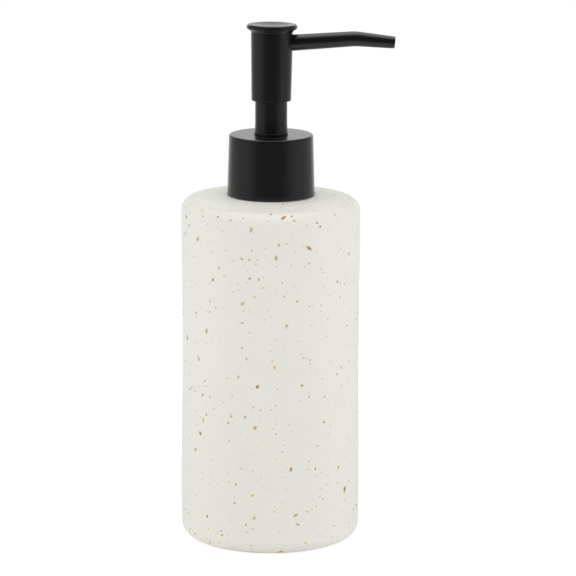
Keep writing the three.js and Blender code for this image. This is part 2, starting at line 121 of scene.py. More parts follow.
def rounded(corners, closed=False):
    """Outline points from (radius, height) corners. A third number rounds that corner."""
    outline = []
    count = len(corners)
    for i, corner in enumerate(corners):
        here = Vector(corner[:2])
        fillet = corner[2] if len(corner) > 2 else 0
        if fillet <= 0 or (not closed and i in (0, count - 1)):
            outline.append((here.x, here.y))
            continue
        before = (Vector(corners[i - 1][:2]) - here).normalized()
        after = (Vector(corners[(i + 1) % count][:2]) - here).normalized()
        half = before.angle(after) / 2
        middle = here + (before + after).normalized() * (fillet / math.sin(half))
        first = here + before * (fillet / math.tan(half)) - middle
        turn = first.angle_signed(here + after * (fillet / math.tan(half)) - middle)
        steps = max(3, math.ceil(abs(turn) / ARC_STEP))
        for k in range(steps + 1):
            spoke = first.copy()
            spoke.rotate(Matrix.Rotation(-turn * k / steps, 2))
            outline.append(tuple(middle + spoke))
    return outline


def divided(outline, longest):
    """The same outline with extra points, so that no stretch is longer than that many mm."""
    points = [outline[0]]
    for (r0, z0), (r1, z1) in zip(outline, outline[1:]):
        out, up = r1 - r0, z1 - z0
        steps = max(1, math.ceil(math.hypot(out, up) / longest))
        points += [(r0 + out * k / steps, z0 + up * k / steps) for k in range(1, steps + 1)]
    return points


def shade(mesh):
    mesh.shade_smooth()
    mesh.set_sharp_from_angle(angle=SHARP)


def new_object(name, bm):
    bmesh.ops.recalc_face_normals(bm, faces=bm.faces)
    mesh = bpy.data.meshes.new(name)
    bm.to_mesh(mesh)
    bm.free()
    shade(mesh)
    obj = bpy.data.objects.new(name, mesh)
    bpy.context.scene.collection.objects.link(obj)
    return obj


def bridge(bm, ring, following):
    """Faces between two rings of vertices; a ring of one vertex is a pole."""
    count = max(len(ring), len(following))
    if count == 1:
        return
    for k in range(count):
        corners = [ring[k % len(ring)], ring[(k + 1) % len(ring)]]
        corners += [following[(k + 1) % len(following)], following[k % len(following)]]
        bm.faces.new(list(dict.fromkeys(corners)))


def lathe(name, outline, sides=SIDES):
    """Body of revolution about Z. The outline runs from axis to axis, or closes on itself."""
    bm = bmesh.new()
    rings = []
    for radius, height in outline:
        count = sides if radius > ON_AXIS else 1
        rings.append([
            bm.verts.new((
                radius * MM * math.cos(math.tau * k / count),
                radius * MM * math.sin(math.tau * k / count),
                height * MM,
            ))
            for k in range(count)
        ])
    for ring, following in zip(rings, rings[1:]):
        bridge(bm, ring, following)
    if len(rings[0]) > 1:
        bridge(bm, rings[-1], rings[0])
    return new_object(name, bm)


def swept(name, sections):
    """Closed body through a list of rings of points in mm, with a flat cap at each end."""
    bm = bmesh.new()
    rings = [[bm.verts.new(Vector(point) * MM) for point in section] for section in sections]
    for ring, following in zip(rings, rings[1:]):
        bridge(bm, ring, following)
    bm.faces.new(rings[0])
    bm.faces.new(rings[-1])
    return new_object(name, bm)


def combine(obj, tool, operation):
    """Boolean of obj with tool, which is used up."""
    modifier = obj.modifiers.new("combine", "BOOLEAN")
    modifier.object = tool
    modifier.operation = operation
    modifier.solver = "EXACT"
    graph = bpy.context.evaluated_depsgraph_get()
    mesh = bpy.data.meshes.new_from_object(obj.evaluated_get(graph))
    obj.modifiers.remove(modifier)
    bm = bmesh.new()
    bm.from_mesh(mesh)
    bmesh.ops.dissolve_degenerate(bm, dist=SMALLEST_EDGE, edges=bm.edges)
    bmesh.ops.remove_doubles(bm, verts=bm.verts, dist=SMALLEST_EDGE)
    bm.to_mesh(mesh)
    bm.free()
    shade(mesh)
    obj.data = mesh
    bpy.data.objects.remove(tool)


def thread_ridge(radius, side, start, turns):
    """Screw ridge of trapezoid section; side is 1 outward and -1 inward."""
    steps_per_turn = 96
    fade_turns = 0.12
    least_fade = 0.02
    buried = 0.25
    half_root = 1.05
    half_crest = 0.5
    sections = []
    for step in range(round(turns * steps_per_turn) + 1):
        turn = step / steps_per_turn
        fade = max(least_fade, min(1, turn / fade_turns, (turns - turn) / fade_turns))
        middle = start + THREAD_PITCH * turn
        profile = [(-buried, -half_root), (THREAD_HEIGHT * fade, -half_crest)]
        profile += [(THREAD_HEIGHT * fade, half_crest), (-buried, half_root)]
        x, y = math.cos(math.tau * turn), math.sin(math.tau * turn)
        sections.append([
            ((radius + side * out) * x, (radius + side * out) * y, middle + up)
            for out, up in profile
        ])
    return swept("ridge", sections)


def rod_along(name, radius, start, end, sides=INNER_SIDES):
    """Cutting rod between two points in mm."""
    start, end = Vector(start), Vector(end)
    turn = Vector((0, 0, 1)).rotation_difference(end - start)
    sections = []
    for point in (start, end):
        sections.append([
            point + turn @ Vector((radius * math.cos(a), radius * math.sin(a), 0))
            for a in (math.tau * k / sides for k in range(sides))
        ])
    return swept(name, sections)


# ---- Material helpers -----------------------------------------------------


class Nodes:
    """A short way to write a node tree."""

    def __init__(self, tree):
        self.tree = tree

    def add(self, kind, **settings):
        node = self.tree.nodes.new(kind)
        for key, value in settings.items():
            setattr(node, key, value)
        return node

    def put(self, socket, value):
        if isinstance(value, bpy.types.NodeSocket):
            self.tree.links.new(value, socket)
        else:
            socket.default_value = value

    def put_all(self, node, values):
        for socket, value in zip(node.inputs, values):
            self.put(socket, value)

    def math(self, operation, *values):
        node = self.add("ShaderNodeMath", operation=operation)
        self.put_all(node, values)
        return node.outputs["Value"]

    def vector(self, operation, *values):
        node = self.add("ShaderNodeVectorMath", operation=operation)
        self.put_all(node, values)
        return node.outputs["Value" if operation == "LENGTH" else "Vector"]

    def ramp(self, value, low, high, to_low=0.0, to_high=1.0, smooth=True):
        kind = "SMOOTHSTEP" if smooth else "LINEAR"
        node = self.add("ShaderNodeMapRange", interpolation_type=kind)
        self.put_all(node, (value, low, high, to_low, to_high))
        return node.outputs["Result"]

    def along(self, axis, place):
        node = self.add("ShaderNodeSeparateXYZ")
        self.put(node.inputs["Vector"], place)
        return node.outputs[axis]

    def mix(self, share, first, second):
        node = self.add("ShaderNodeMix", data_type="RGBA")
        self.put(node.inputs["Factor"], share)
        self.put(node.inputs["A"], first)
        self.put(node.inputs["B"], second)
        return node.outputs["Result"]


class MaterialNodes(Nodes):
    """The node tree of one new material."""

    def __init__(self, name):
        self.material = bpy.data.materials.new(name)
        self.material.use_nodes = True
        super().__init__(self.material.node_tree)
        self.shader = self.tree.nodes["Principled BSDF"]
        self.place = self.add("ShaderNodeTexCoord").outputs["Object"]

    def noise(self, size_mm, detail=3.0, roughness=0.55, stretch=(1, 1, 1)):
        place = self.vector("MULTIPLY", self.place, stretch)
        node = self.add("ShaderNodeTexNoise")
        self.put(node.inputs["Vector"], place)
        self.put(node.inputs["Scale"], 1 / (size_mm * MM))
        self.put(node.inputs["Detail"], detail)
        self.put(node.inputs["Roughness"], roughness)
        return node.outputs["Fac"]

    def bump(self, height, depth_mm, strength=1.0, under=None):
        node = self.add("ShaderNodeBump")
        self.put(node.inputs["Height"], height)
        self.put(node.inputs["Distance"], depth_mm * MM)
        self.put(node.inputs["Strength"], strength)
        if under is not None:
            self.put(node.inputs["Normal"], under)
        return node.outputs["Normal"]

    def surface(self, **values):
        for name, value in values.items():
            self.put(self.shader.inputs[name.replace("_", " ")], value)
        return self.material


def rgb(red, green, blue):
    return (red, green, blue, 1.0)


# ---- Materials ------------------------------------------------------------

Flecks = namedtuple("Flecks", "cell radius chance longer soft shift rim cores strength bleeding")
FLECK_LEAST = 0.3  # the smallest fleck of a layer, as a share of the largest
FLECK_FLATNESS = 1.25  # how much thinner than wide
BLEEDING = (2.7, 0.9)  # where the ring of bled iron begins and is full, in fleck radii


def fleck_layers():
    """From fine grey dust to large ochre flecks: the cell each may sit in and its greatest
    radius in mm, the share of cells that have one, length over width, softness of the edge,
    offset of the layer in mm, colour of the rim, two colours for the cores, strength, and
    how much iron bleeds into the glaze around."""
    pale = rgb(0.62, 0.60, 0.54)
    tan = rgb(0.76, 0.66, 0.45)
    gold = rgb(0.80, 0.67, 0.37)
    greys = (rgb(0.40, 0.40, 0.37), rgb(0.52, 0.50, 0.44))
    umbers = (rgb(0.16, 0.15, 0.12), rgb(0.28, 0.24, 0.17))
    browns = (rgb(0.125, 0.09, 0.04), rgb(0.28, 0.20, 0.09))
    ochres = (rgb(0.46, 0.32, 0.10), rgb(0.25, 0.165, 0.055))
    return (
        Flecks(1.9, 0.30, 0.92, 1.2, 0.45, 11, pale, greys, 0.62, 0),
        Flecks(2.6, 0.37, 0.90, 1.3, 0.35, 29, pale, umbers, 0.74, 0),
        Flecks(3.9, 0.55, 0.92, 1.4, 0.35, 47, tan, browns, 0.92, 0.25),
        Flecks(5.5, 0.84, 0.92, 1.9, 0.50, 71, gold, ochres, 1, 0.40),
    )


def scatter(nodes, flecks):
    """Flecks scattered through space, one at most in each cell, each with its own size and
    direction. Gives the cover, 0 to 1, the wider ring that each bleeds into, and a random
    colour for each fleck."""
    offset = (flecks.shift * MM, -flecks.shift * MM, 2 * flecks.shift * MM)
    place = nodes.vector("ADD", nodes.place, offset)
    cells = nodes.add("ShaderNodeTexVoronoi")
    nodes.put(cells.inputs["Vector"], place)
    nodes.put(cells.inputs["Scale"], 1 / (flecks.cell * MM))
    away = nodes.vector("SUBTRACT", place, cells.outputs["Position"])
    turn = nodes.add("ShaderNodeVectorRotate", rotation_type="EULER_XYZ")
    nodes.put(turn.inputs["Vector"], away)
    nodes.put(turn.inputs["Rotation"], nodes.vector("MULTIPLY", cells.outputs["Color"], (math.tau,) * 3))
    squeeze = (1 / flecks.longer, 1, FLECK_FLATNESS)
    distance = nodes.vector("LENGTH", nodes.vector("MULTIPLY", turn.outputs["Vector"], squeeze))

    chosen = nodes.add("ShaderNodeTexWhiteNoise")
    nodes.put(chosen.inputs["Vector"], cells.outputs["Position"])
    largest = flecks.radius * MM
    absent = 1 - flecks.chance
    size = nodes.ramp(chosen.outputs["Value"], absent, 1, FLECK_LEAST * largest, largest, smooth=False)
    present = nodes.math("GREATER_THAN", chosen.outputs["Value"], absent)

    ragged = nodes.math("MULTIPLY_ADD", nodes.noise(0.5, 2.0), 0.5, 0.75)  # a quarter either way
    edge = nodes.math("DIVIDE", nodes.math("MULTIPLY", distance, ragged), size)
    inside = nodes.math("MULTIPLY", nodes.ramp(edge, 1 + flecks.soft, 1 - flecks.soft), present)
    around = nodes.math("MULTIPLY", nodes.ramp(edge, *BLEEDING), present)
    return inside, around, chosen.outputs["Color"]


def add_flecks(nodes, colour, flecks):
    """The colour with one layer of flecks on it, and the cover of those flecks."""
    share, around, random = scatter(nodes, flecks)
    if flecks.bleeding:
        stained = nodes.math("MULTIPLY", around, flecks.bleeding)
        colour = nodes.mix(stained, colour, rgb(0.86, 0.785, 0.66))
    pick = nodes.add("ShaderNodeSeparateColor")
    nodes.put(pick.inputs["Color"], random)
    core = nodes.mix(pick.outputs["Red"], *flecks.cores)
    fleck = nodes.mix(nodes.ramp(share, 0.2, 0.9), flecks.rim, core)
    least = 0.6 * flecks.strength
    fade = nodes.math("MULTIPLY_ADD", pick.outputs["Green"], flecks.strength - least, least)
    return nodes.mix(nodes.math("MULTIPLY", share, fade), colour, fleck), share


def painted_glaze_shade(nodes, height):
    """Painted shade, 0 to 1, over the shoulder's edge and toward the foot: the glaze colour is made
    greyer and darker there in place of shade.
    """
    radius = nodes.vector("LENGTH", nodes.vector("MULTIPLY", nodes.place, (1, 1, 0)))
    outer = nodes.ramp(radius, 27.5 * MM, 29.5 * MM, 0, 0.45)
    upper = nodes.ramp(height, 121.5 * MM, 125.5 * MM)
    lower = nodes.ramp(height, 110 * MM, 1 * MM, 0, 0.55)
    return nodes.math("ADD", nodes.math("MULTIPLY", outer, upper), lower)


def make_stoneware():
    """Matte off-white glaze with iron flecks, and bare clay on the foot."""
    nodes = MaterialNodes("stoneware")
    height = nodes.along("Z", nodes.place)
    colour = nodes.mix(nodes.noise(14, 2.0), rgb(0.80, 0.795, 0.735), rgb(0.83, 0.825, 0.765))
    # Painted shade: the glaze is mixed toward a darker grey over the shoulder's edge and toward the
    # foot.
    colour = nodes.mix(painted_glaze_shade(nodes, height), colour, rgb(0.70, 0.693, 0.638))
    for flecks in fleck_layers():
        colour, largest_cover = add_flecks(nodes, colour, flecks)
    wavy_height = nodes.math("ADD", height, nodes.math("MULTIPLY", nodes.noise(9, 2.0), 1.4 * MM))
    bare = nodes.ramp(wavy_height, 1.6 * MM, 1.1 * MM)
    clay = nodes.mix(nodes.noise(0.8, 4.0), rgb(0.50, 0.41, 0.29), rgb(0.60, 0.52, 0.40))
    colour = nodes.mix(bare, colour, clay)
    grain = nodes.bump(nodes.noise(0.35, 4.0, 0.6), 0.05, 0.35)
    waves = nodes.bump(nodes.noise(6, 2.0), 0.12, 0.35, grain)
    pits = nodes.bump(largest_cover, 0.02, 0.5, waves)
    rough = nodes.math("MULTIPLY_ADD", nodes.noise(1.5, 3.0), 0.16, 0.50)
    return nodes.surface(Base_Color=colour, Roughness=rough, Normal=pits, IOR=1.5)


def make_black_plastic():
    """Satin moulded black plastic with a fine spark-eroded texture."""
    nodes = MaterialNodes("black_plastic")
    colour = nodes.mix(nodes.noise(3, 3.0), rgb(0.0044, 0.0042, 0.0043), rgb(0.0054, 0.0051, 0.0052))
    rough = nodes.math("MULTIPLY_ADD", nodes.noise(0.9, 4.0), 0.07, 0.265)
    texture = nodes.bump(nodes.noise(0.16, 2.0), 0.006, 0.35)
    return nodes.surface(Base_Color=colour, Roughness=rough, Normal=texture, IOR=1.5)


def make_white_plastic():
    """Natural polypropylene: milky, slightly waxy."""
    nodes = MaterialNodes("white_plastic")
    colour = nodes.mix(nodes.noise(5, 3.0), rgb(0.76, 0.76, 0.72), rgb(0.84, 0.84, 0.81))
    rough = nodes.math("MULTIPLY_ADD", nodes.noise(0.8, 3.0), 0.12, 0.34)
    texture = nodes.bump(nodes.noise(0.25, 3.0), 0.01, 0.3)
    return nodes.surface(Base_Color=colour, Roughness=rough, Normal=texture, IOR=1.49)


def make_clear_plastic():
    """Drawn polyethylene tube with faint lines along it."""
    nodes = MaterialNodes("clear_plastic")
    lines = nodes.noise(0.3, 3.0, stretch=(1, 1, 0.02))
    colour = nodes.mix(lines, rgb(0.74, 0.77, 0.76), rgb(0.84, 0.86, 0.85))
    rough = nodes.math("MULTIPLY_ADD", lines, 0.1, 0.2)
    texture = nodes.bump(lines, 0.01, 0.3)
    nodes.put(nodes.shader.inputs["Transmission Weight"], 0.55)
    return nodes.surface(Base_Color=colour, Roughness=rough, Normal=texture, IOR=1.51)


def make_seal_foam():
    """Closed-cell foam of the neck gasket."""
    nodes = MaterialNodes("seal_foam")
    cells = nodes.add("ShaderNodeTexVoronoi")
    nodes.put(cells.inputs["Vector"], nodes.place)
    nodes.put(cells.inputs["Scale"], 1 / (0.35 * MM))
    colour = nodes.mix(cells.outputs["Distance"], rgb(0.76, 0.75, 0.70), rgb(0.62, 0.61, 0.56))
    texture = nodes.bump(cells.outputs["Distance"], 0.06, 0.6)
    return nodes.surface(Base_Color=colour, Roughness=0.8, Normal=texture)


def make_spring_steel():
    """Drawn stainless wire."""
    nodes = MaterialNodes("spring_steel")
    marks = nodes.noise(0.25, 4.0, stretch=(0.3, 0.3, 2))
    colour = nodes.mix(marks, rgb(0.52, 0.51, 0.50), rgb(0.68, 0.67, 0.66))
    rough = nodes.math("MULTIPLY_ADD", marks, 0.2, 0.2)
    texture = nodes.bump(marks, 0.01, 0.4)
    nodes.put(nodes.shader.inputs["Metallic"], 1.0)
    return nodes.surface(Base_Color=colour, Roughness=rough, Normal=texture)


def make_valve_steel():
    """Ground and polished valve balls."""
    nodes = MaterialNodes("valve_steel")
    marks = nodes.noise(0.4, 4.0)
    colour = nodes.mix(marks, rgb(0.66, 0.67, 0.68), rgb(0.76, 0.77, 0.78))
    rough = nodes.math("MULTIPLY_ADD", marks, 0.08, 0.06)
    texture = nodes.bump(marks, 0.002, 0.3)
    nodes.put(nodes.shader.inputs["Metallic"], 1.0)
    return nodes.surface(Base_Color=colour, Roughness=rough, Normal=texture)


MATERIAL_MAKERS = {
    "stoneware": make_stoneware,
    "black_plastic": make_black_plastic,
    "white_plastic": make_white_plastic,
    "clear_plastic": make_clear_plastic,
    "seal_foam": make_seal_foam,
    "spring_steel": make_spring_steel,
    "valve_steel": make_valve_steel,
}
materials = {}


def settle(obj, node, body):
    """Gives a finished piece its material and body, in place of its CAD node."""
    wanted = next(s["material_slot"] for s in frame["record"]["subparts"] if s["node"] == node)
    if wanted not in materials:
        materials[wanted] = MATERIAL_MAKERS[wanted]()
    obj.data.materials.clear()
    obj.data.materials.append(materials[wanted])
    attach(obj, body)
    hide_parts(node)


# ---- Bottle -----------------------------------------------------------------

GIRTH = ((15, 32.9), (70, 32.4), (118, 32.7))  # (height, radius) at foot, waist and shoulder
SHOULDER_LEAN = 0.006  # the thrown shoulder drops this much for each mm to the right
LEAN_HEIGHTS = (104, 121)  # from nothing to the full lean
WANDER = 0.055  # how far the thrown wall strays from round
WANDER_HEIGHT = 10  # the foot is round, and above this height the wall strays in full
STEADY_RADIUS = 20  # neck and mouth are round


def smooth_step(share):
    return share * share * (3 - 2 * share)


def wall_points():
    """Outline of the bottle's side, drawn in at the waist by smooth curves."""
    steps = 10
    foot_z, foot_radius = GIRTH[0]
    points = [(foot_radius, foot_z)]
    for (z0, r0), (z1, r1) in zip(GIRTH, GIRTH[1:]):
        for share in (k / steps for k in range(1, steps + 1)):
            points.append((r0 + (r1 - r0) * smooth_step(share), z0 + (z1 - z0) * share))
    return points


def throw_by_hand(obj):
    """Lets the shoulder lean and the wall wander, as on a thrown pot."""
    start, end = LEAN_HEIGHTS
    for vertex in obj.data.vertices:
        x, y, z = vertex.co
        share = min(1, max(0, (z - start * MM) / ((end - start) * MM)))
        vertex.co.z -= x * SHOULDER_LEAN * smooth_step(share)
        radius = math.hypot(x, y)
        if radius < STEADY_RADIUS * MM:
            continue
        angle = math.atan2(y, x)
        waves = math.sin(2 * angle + 31 * z + 0.6) + 0.6 * math.sin(3 * angle - 55 * z)
        push = 1 + WANDER * MM * waves * min(1, z / (WANDER_HEIGHT * MM)) / radius
        vertex.co.x *= push
        vertex.co.y *= push


def make_bottle():
    foot_radius, floor_z, land_z = measures("bottle")
    shoulder_radius = GIRTH[-1][1]
    slope = math.tan(math.radians(6))
    land_radius = 17
    mouth_radius = 12.4
    inside_radius = foot_radius - 4.55
    inside_floor = 5
    ceiling = land_z - 5.6
    rim_z = land_z - (shoulder_radius - land_radius) * slope
    corners = [
        (0, floor_z),
        (foot_radius, floor_z, 5),
        *wall_points(),
        (shoulder_radius, rim_z, 4.3),
        (land_radius, land_z, 6),
        (mouth_radius, land_z, 0.6),
        (mouth_radius, ceiling, 0.6),
        (inside_radius, ceiling - 1, 4),
        (inside_radius, inside_floor, 4),
        (0, inside_floor),
    ]
    obj = lathe("bottle_body", divided(rounded(corners), 3), WIDE_SIDES)
    throw_by_hand(obj)
    settle(obj, "bottle", "vessel")


def make_neck_insert():
    _, bottom, top = measures("neck_insert")
    bore = 10.6
    sleeve = 12.1
    neck = 12.5
    flange = 13.65
    flange_bottom = 127.4
    flange_top = flange_bottom + 1.2
    corners = [
        (bore, bottom, 0.2),
        (sleeve, bottom, 0.3),
        (sleeve, flange_bottom),
        (flange, flange_bottom, 0.2),
        (flange, flange_top, 0.3),
        (neck, flange_top, 0.2),
        (neck, top, 0.4),
        (bore, top, 0.4),
    ]
    obj = lathe("neck_insert_body", rounded(corners, closed=True), NECK_SIDES)
    combine(obj, thread_ridge(neck, 1, THREAD_START, THREAD_TURNS), "UNION")
    settle(obj, "neck_insert", "vessel")


# ---- Collar -----------------------------------------------------------------


def make_collar():
    radius, bottom, top = measures("collar")
    top_radius = radius - 0.65
    bore = 14.1
    hole = 5.9
    web = 1.5
    corners = [
        (bore, bottom, 0.3),
        (radius, bottom - 0.2, 0.15),
        (top_radius, top, 0.65),
        (hole, top, 0.15),
        (hole, top - web, 0.15),
        (bore, top - web, 0.6),
    ]
    obj = lathe("collar_body", divided(rounded(corners, closed=True), 1.5), WIDE_SIDES)
    combine(obj, thread_ridge(bore, -1, THREAD_START - THREAD_PITCH / 2, THREAD_TURNS), "UNION")
    settle(obj, "collar", "closure")


# ---- Pump engine --------------------------------------------------------------


def make_neck_gasket():
    radius, bottom, top = measures("neck_gasket")
    inner = 9.6
    corners = [(inner, bottom, 0.25), (radius, bottom, 0.25), (radius, top, 0.25), (inner, top, 0.25)]
    obj = lathe("neck_gasket_ring", rounded(corners, closed=True), INNER_SIDES)
    settle(obj, "neck_gasket", "pump_engine")


def make_stem_guide():
    flange_radius, bottom, top = measures("stem_guide")
    collar_top = measures("collar")[2]
    flange_bottom = bottom + 4
    flange_top = collar_top - 1.8
    bore = 4.1
    sleeve = 6.2
    waist = 5.6  # in the collar's hole
    ring = 6.12  # on top of the collar
    ring_bottom = collar_top + 0.04
    root = 6
    tower = 5.85
    corners = [
        (bore, bottom, 0.2),
        (sleeve, bottom, 0.3),
        (sleeve, flange_bottom),
        (flange_radius, flange_bottom, 0.2),
        (flange_radius, flange_top, 0.2),
        (waist, flange_top, 0.1),
        (waist, ring_bottom),
        (ring, ring_bottom, 0.06),
        (ring, collar_top + 0.75, 0.12),
        (root, collar_top + 0.9, 0.15),
        (root - 0.06, collar_top + 2, 1.5),
        (tower, collar_top + 4, 3),
        (tower, top, 0.5),
        (bore, top, 0.4),
    ]
    obj = lathe("stem_guide_tower", divided(rounded(corners, closed=True), 1.5))
    settle(obj, "stem_guide", "pump_engine")


def make_pump_housing():
    flange_radius, bottom, top = measures("pump_housing")
    flange_bottom = top - 1.4
    barrel = 7.6
    bore = 6.5
    cylinder_floor = 113
    valve_pocket = 2.6
    seat = 105.3
    inlet = 1.2
    tube_socket = 3.35
    socket_top = 103
    socket_wall = 4.8
    corners = [
        (tube_socket, bottom, 0.3),
        (socket_wall, bottom, 0.3),
        (socket_wall, cylinder_floor - 4, 1),
        (barrel, cylinder_floor - 1, 1.2),
        (barrel, flange_bottom, 0.4),
        (flange_radius, flange_bottom, 0.2),
        (flange_radius, top, 0.2),
        (bore, top, 0.3),
        (bore, cylinder_floor, 0.4),
        (valve_pocket, cylinder_floor, 0.2),
        (valve_pocket, seat + 1.4, 0.2),
        (inlet, seat, 0.1),
        (inlet, socket_top, 0.1),
        (tube_socket, socket_top, 0.2),
    ]
    obj = lathe("pump_housing_body", rounded(corners, closed=True), INNER_SIDES)
    vent_radius = 0.5
    vent_z = top - 5
    vent = rod_along("vent", vent_radius, (0, 0, vent_z), (0, barrel + 1.4, vent_z), HOLE_SIDES)
    combine(obj, vent, "DIFFERENCE")
    settle(obj, "pump_housing", "pump_engine")


def make_ball(node, name, body):
    low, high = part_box(node)
    radius = (high.z - low.z) / 2 / MM
    middle = (high.z + low.z) / 2 / MM
    steps = 48
    arc = [
        (radius * math.sin(math.pi * k / steps), middle - radius * math.cos(math.pi * k / steps))
        for k in range(1, steps)
    ]
    obj = lathe(name, [(0, middle - radius), *arc, (0, middle + radius)], INNER_SIDES)
    settle(obj, node, body)


def make_ball_cage():
    flange_radius, bottom, top = measures("ball_cage")
    flange_bottom = top - 0.8
    hole = 1
    cage = 2.3
    slots = 3
    slot_radius = 0.45
    slot_circle = 3.6
    corners = [
        (hole, bottom, 0.2),
        (cage, bottom, 0.3),
        (cage, flange_bottom, 0.15),
        (flange_radius, flange_bottom, 0.15),
        (flange_radius, top, 0.15),
        (hole, top, 0.25),
    ]
    obj = lathe("ball_cage_body", rounded(corners, closed=True), INNER_SIDES)
    for k in range(slots):
        turn = math.tau * k / slots
        x, y = slot_circle * math.cos(turn), slot_circle * math.sin(turn)
        slot = rod_along("slot", slot_radius, (x, y, top - 2), (x, y, top + 1), HOLE_SIDES)
        combine(obj, slot, "DIFFERENCE")
    settle(obj, "ball_cage", "pump_engine")


def make_dip_tube():
    radius, bottom, top = measures("dip_tube")
    bore = 2
    cut_height = 2 * radius * math.tan(math.radians(30))  # the lower end is cut at a slant
    cut_fade = 20
    corners = [(bore, bottom), (radius, bottom), (radius, top, 0.2), (bore, top, 0.2)]
    obj = lathe("dip_tube_body", divided(rounded(corners, closed=True), 4), INNER_SIDES)
    for vertex in obj.data.vertices:
        share = 1 - min(1, max(0, (vertex.co.z / MM - bottom) / cut_fade))
        vertex.co.z += share * cut_height * MM * (0.5 - vertex.co.x / MM / (2 * radius))
    settle(obj, "dip_tube", "pump_engine")


# ---- Spring -------------------------------------------------------------------


def make_return_spring():
    low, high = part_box("return_spring")
    bottom = low.z / MM
    length = high.z / MM - bottom
    wire = 0.4
    wire_sides = 14
    coil = high.x / MM - wire
    turns = 8
    steps_per_turn = 48
    end_pitch = 1.15
    open_pitch = (length - 2 * wire - 2 * end_pitch) / (turns - 2)
    sections = []
    for step in range(turns * steps_per_turn + 1):
        turn = step / steps_per_turn
        open_turns = min(max(turn - 1, 0), turns - 2)
        z = bottom + wire + end_pitch * (turn - open_turns) + open_pitch * open_turns
        out = Vector((math.cos(math.tau * turn), math.sin(math.tau * turn), 0))
        sections.append([
            out * (coil + wire * math.cos(a)) + Vector((0, 0, z + wire * math.sin(a)))
            for a in (math.tau * k / wire_sides for k in range(wire_sides))
        ])
    obj = swept("return_spring_coil", sections)
    settle(obj, "return_spring", "pump_engine")
    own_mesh(obj)


# ---- Plunger ------------------------------------------------------------------


def make_piston():
    radius, bottom, top = measures("piston")
    inner = 3.8
    waist = radius - 0.5
    lip_root = radius - 1
    corners = [
        (inner, bottom, 0.3),
        (lip_root, bottom + 1, 0.2),
        (waist, bottom, 0.12),
        (radius, bottom, 0.08),
        (waist, bottom + 2, 0.5),
        (waist, top - 2, 0.5),
        (radius, top, 0.08),
        (waist, top, 0.12),
        (lip_root, top - 1, 0.2),
        (inner, top - 1, 0.3),
    ]
    obj = lathe("piston_ring", rounded(corners, closed=True), INNER_SIDES)
    settle(obj, "piston", "plunger")


def make_piston_plug():
    radius, bottom, top = measures("piston_plug")
    disc_top = bottom + 1.6
    spigot = 1.7
    corners = [
        (0, bottom),
        (radius, bottom, 0.3),
        (radius, disc_top, 0.3),
        (spigot, disc_top, 0.2),
        (spigot, top, 0.4),
        (0, top),
    ]
    obj = lathe("piston_plug_body", rounded(corners), INNER_SIDES)
    settle(obj, "piston_plug", "plunger")


def make_piston_stem():
    radius, bottom, top = measures("piston_stem")
    bore = 2
    outlet = 1.1
    seat_depth = 0.8
    port_radius = 0.9
    port_z = bottom + 3
    corners = [
        (bore, bottom, 0.15),
        (radius, bottom, 0.15),
        (radius, top, 0.3),
        (outlet + seat_depth, top, 0.1),
        (outlet, top - seat_depth, 0.1),
        (outlet, top - 3, 0.1),
        (bore, top - 4, 0.1),
    ]
    obj = lathe("piston_stem_body", rounded(corners, closed=True), INNER_SIDES)
    port = rod_along("port", port_radius, (0, -2 * radius, port_z), (0, 2 * radius, port_z), 32)
    combine(obj, port, "DIFFERENCE")
    settle(obj, "piston_stem", "plunger")


# ---- Head ---------------------------------------------------------------------

RECESS_RADIUS = 8
RECESS_DEPTH = 2
HEAD_PIVOT = Vector((0, 0, 160)) * MM
HEAD_LEAN = Matrix.Rotation(math.radians(-1.3), 4, "X") @ Matrix.Rotation(math.radians(0.4), 4, "Y")


def lean_head(obj):
    """The head has a little play on its stem, and leans back and to the right."""
    obj.data.transform(Matrix.Translation(HEAD_PIVOT) @ HEAD_LEAN @ Matrix.Translation(-HEAD_PIVOT))


def make_head_shell():
    disc_radius, bottom, top = measures("head_shell")
    bore = 6.4
    skirt = 7.22
    shoulder = 7.62
    corners = [
        (bore, bottom, 0.25),
        (skirt, bottom, 0.3),
        (shoulder, top - 2.7, 0.15),
        (disc_radius - 0.6, top - 1.85, 0.2),
        (disc_radius, top - 1.5, 0.25),
        (disc_radius, top - 0.7, 0.5),
        (disc_radius - 0.45, top, 0.45),
        (RECESS_RADIUS, top, 0.06),
        (RECESS_RADIUS, top - RECESS_DEPTH, 0.1),
        (bore, top - RECESS_DEPTH, 0.1),
    ]
    obj = lathe("head_shell_body", divided(rounded(corners, closed=True), 0.5), WIDE_SIDES)
    way = (SPOUT_BEND - SPOUT_ROOT).normalized()
    hole = rod_along("hole", SPOUT_ROOT_RADIUS - 0.35, SPOUT_ROOT, SPOUT_ROOT + way * 12)
    combine(obj, hole, "DIFFERENCE")
    lean_head(obj)
    settle(obj, "head_shell", "head")


def make_head_cap():
    _, bottom, top = measures("head_cap")
    radius = RECESS_RADIUS - 0.03
    dish = 0.75
    dish_radius = radius - 0.35
    steps = 14
    curve = [
        (dish_radius * k / steps, top - dish * (1 - (k / steps) ** 2))
        for k in range(steps, -1, -1)
    ]
    corners = [(0, bottom), (radius, bottom, 0.1), (radius, top, 0.06), *curve]
    obj = lathe("head_cap_disc", rounded(corners), WIDE_SIDES)
    lean_head(obj)
    settle(obj, "head_cap", "head")


